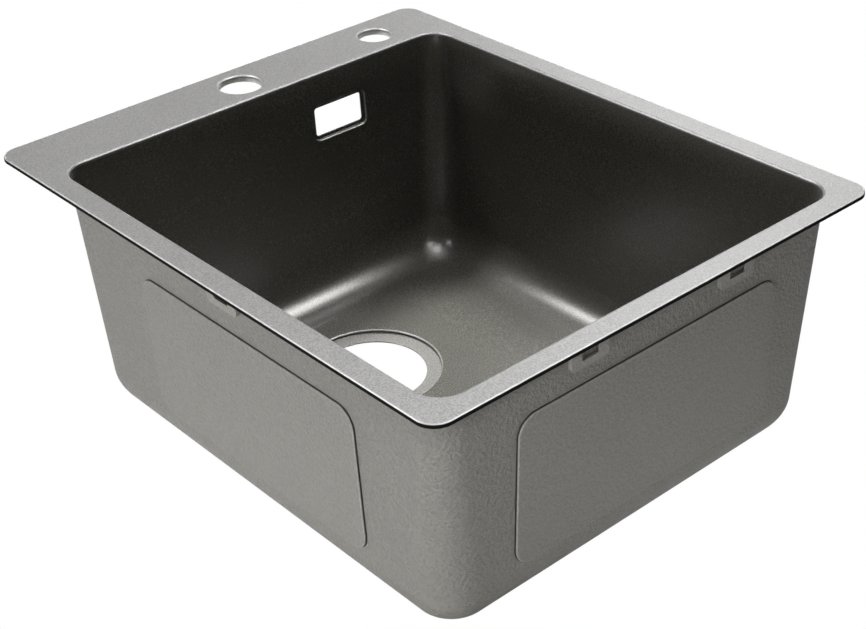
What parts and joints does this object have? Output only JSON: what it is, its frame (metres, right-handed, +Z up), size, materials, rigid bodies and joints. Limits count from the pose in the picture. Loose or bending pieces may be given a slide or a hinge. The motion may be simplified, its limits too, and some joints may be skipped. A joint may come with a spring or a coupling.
{
  "type": "inset kitchen sink",
  "caption": "Inset single-bowl kitchen sink with a rear tap ledge, a drain recess for a basket waste, an overflow window, sound pads and clip brackets.",
  "frame": {"origin": "on the worktop's top face, at the centre of the deck plate, which is where the sink is set in", "axes": "+Z up out of the worktop, +Y away from the user towards the tap ledge, +X to the user's right"},
  "size_m": [0.412, 0.5, 0.2101],
  "materials": {
    "deck_coat": "fine-grained satin gunmetal coat on thick sheet steel",
    "bowl_coat": "satin gunmetal coat inside, finely textured grey spray coat outside",
    "pad_coat": "dense sound-deadening pad, sprayed over with the same grey textured coat",
    "bracket_coat": "pressed sheet steel under the same grey coat",
    "seal_foam": "black closed-cell foam strip"
  },
  "bodies": {
    "root": {"deck_plate": "deck_coat", "bowl": "bowl_coat", "rim_seal": "seal_foam", "pad_left": "pad_coat", "pad_right": "pad_coat", "pad_front": "pad_coat", "pad_back": "pad_coat", "pad_floor": "pad_coat", "bracket_front_left": "bracket_coat", "bracket_front_right": "bracket_coat", "bracket_back_left": "bracket_coat", "bracket_back_right": "bracket_coat", "bracket_left": "bracket_coat", "bracket_right": "bracket_coat"}
  },
  "joints": []
}
